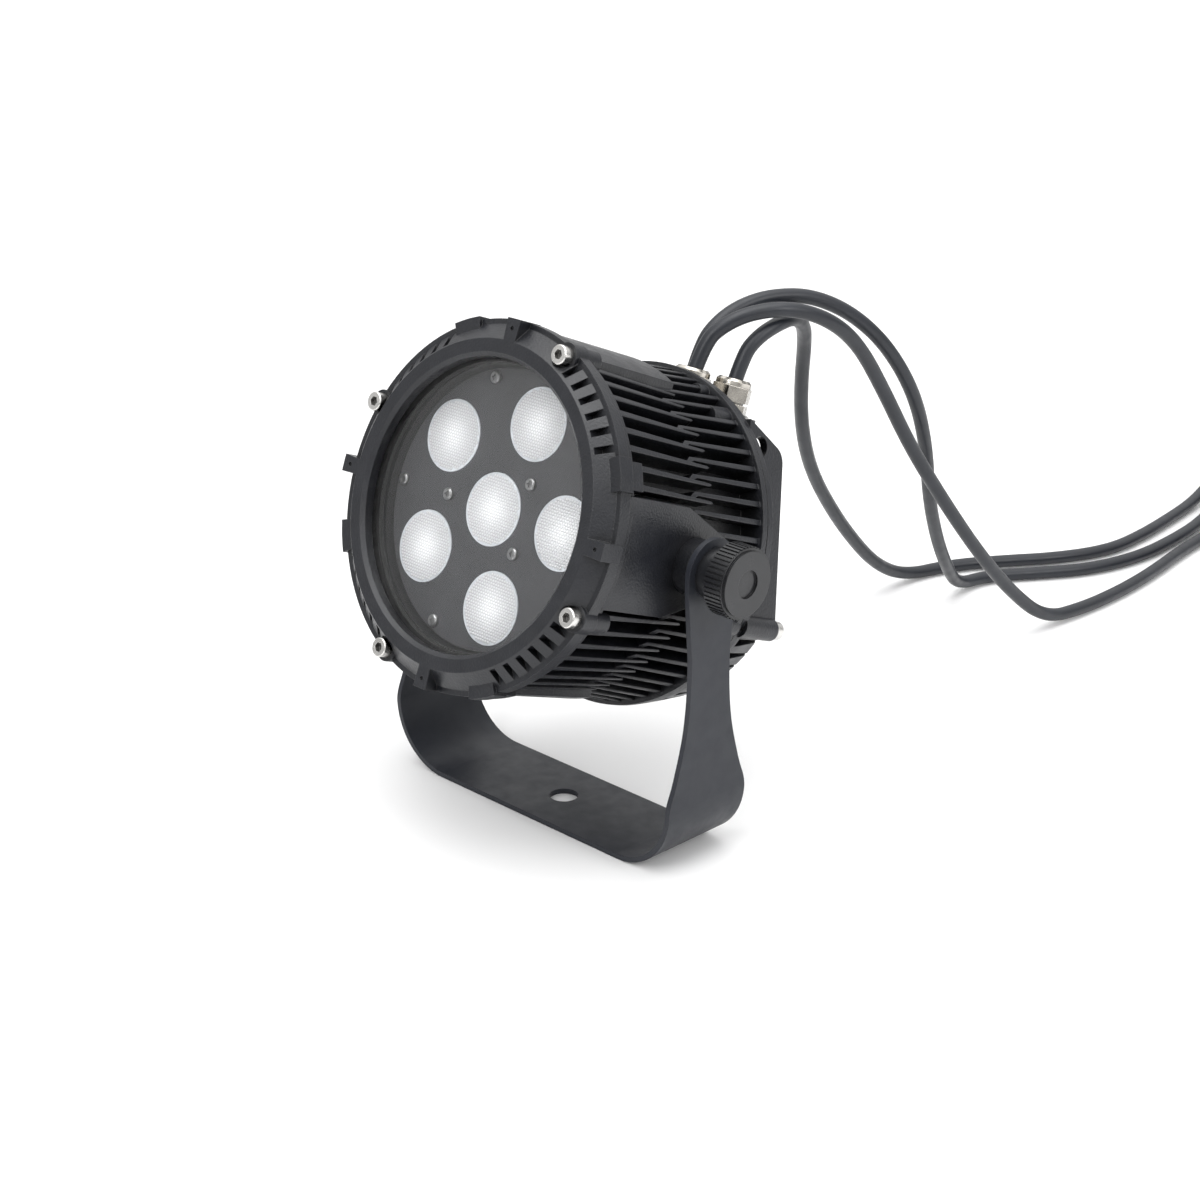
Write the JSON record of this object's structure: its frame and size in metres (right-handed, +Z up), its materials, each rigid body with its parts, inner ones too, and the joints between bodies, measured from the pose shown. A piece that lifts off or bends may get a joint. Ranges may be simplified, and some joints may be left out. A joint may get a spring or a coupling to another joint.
{
  "type": "par can light",
  "caption": "Outdoor LED par can: finned round die-cast head with lens array, tilting in a U-shaped yoke between two clamping knobs, with rear glands and pigtail cables.",
  "frame": {"origin": "centre of the mounting hole in the yoke's base, on the underside of the base", "axes": "+Z up (the base hole and its clamp bolt point down, along -Z), X along the tilt axis, the lamp faces -Y and points up a little at rest"},
  "size_m": [0.219, 0.7746, 0.2373],
  "materials": {
    "black_casting": "fine-textured black powder coat on die-cast aluminium",
    "grey_powder_coat": "smooth dark grey powder coat on steel strip",
    "dark_satin_paint": "satin dark grey",
    "clear_acrylic": "clear frosted acrylic, honeycomb front",
    "front_glass": "clear tempered glass",
    "black_rubber": "matte",
    "grey_silicone": "matte",
    "cable_rubber": "satin black rubber sheath",
    "nickel_plate": "nickel-plated brass",
    "stainless_steel": "stainless",
    "dark_zinc": "dark zinc-plated screws",
    "black_knob_plastic": "moulded black plastic",
    "washer_nylon": "black nylon",
    "white_metal_board": "white solder mask",
    "yellow_phosphor": "phosphor under clear silicone",
    "black_holder_plastic": "matte",
    "bare_aluminium": "folded sheet case",
    "green_circuit_board": "solder mask",
    "black_component": "moulded components",
    "green_terminal": "moulded terminal block",
    "black_vent_plastic": "moulded vent",
    "black_connector_plastic": "moulded connector"
  },
  "bodies": {
    "yoke": {"yoke": "grey_powder_coat", "friction_washer_left": "washer_nylon", "friction_washer_right": "washer_nylon", "cable_centre": "cable_rubber", "cable_left": "cable_rubber", "cable_right": "cable_rubber", "connector_body_centre": "black_connector_plastic", "connector_body_left": "black_connector_plastic", "connector_body_right": "black_connector_plastic", "connector_nut_centre": "black_connector_plastic", "connector_nut_left": "black_connector_plastic", "connector_nut_right": "black_connector_plastic"},
    "head": {"bezel_screws": "stainless_steel", "board_screws": "stainless_steel", "body_gasket": "black_rubber", "driver_board": "green_circuit_board", "driver_components": "black_component", "driver_screws": "stainless_steel", "driver_standoffs": "stainless_steel", "front_bezel": "black_casting", "front_glass": "front_glass", "gland_body_centre": "nickel_plate", "gland_body_left": "nickel_plate", "gland_body_right": "nickel_plate", "gland_cap_centre": "nickel_plate", "gland_cap_left": "nickel_plate", "gland_cap_right": "nickel_plate", "gland_seal_centre": "black_rubber", "gland_seal_left": "black_rubber", "gland_seal_right": "black_rubber", "glass_gasket": "black_rubber", "housing": "black_casting", "led_board": "white_metal_board", "led_emitters": "yellow_phosphor", "lens_1": "clear_acrylic", "lens_2": "clear_acrylic", "lens_3": "clear_acrylic", "lens_4": "clear_acrylic", "lens_5": "clear_acrylic", "lens_6": "clear_acrylic", "lens_holder": "black_holder_plastic", "mask_plate": "dark_satin_paint", "mask_screws": "dark_zinc", "mask_standoffs": "stainless_steel", "pivot_boss_left": "black_casting", "pivot_boss_right": "black_casting", "power_supply": "bare_aluminium", "rear_cover": "black_casting", "rear_cover_screws": "stainless_steel", "rear_gasket": "black_rubber", "terminal_block": "green_terminal", "thermal_pad": "grey_silicone", "vent_valve": "black_vent_plastic"},
    "knob_left": {"knob_left": "black_knob_plastic", "knob_stud_left": "stainless_steel"},
    "knob_right": {"knob_right": "black_knob_plastic", "knob_stud_right": "stainless_steel"}
  },
  "joints": [
    {"name": "head_tilt", "type": "hinge", "parent": "yoke", "child": "head", "pos_m": [0, 0, 0.1384], "axis": [1, 0, 0], "range_deg": [-69, 110], "deforming": ["cable_centre", "cable_left", "cable_right"]},
    {"name": "knob_left_turn", "type": "hinge", "parent": "head", "child": "knob_left", "pos_m": [-0.1, 0, 0.1384], "axis": [-1, 0, 0], "range_deg": [0, 360]},
    {"name": "knob_right_turn", "type": "hinge", "parent": "head", "child": "knob_right", "pos_m": [0.1, 0, 0.1384], "axis": [1, 0, 0], "range_deg": [0, 360]}
  ]
}
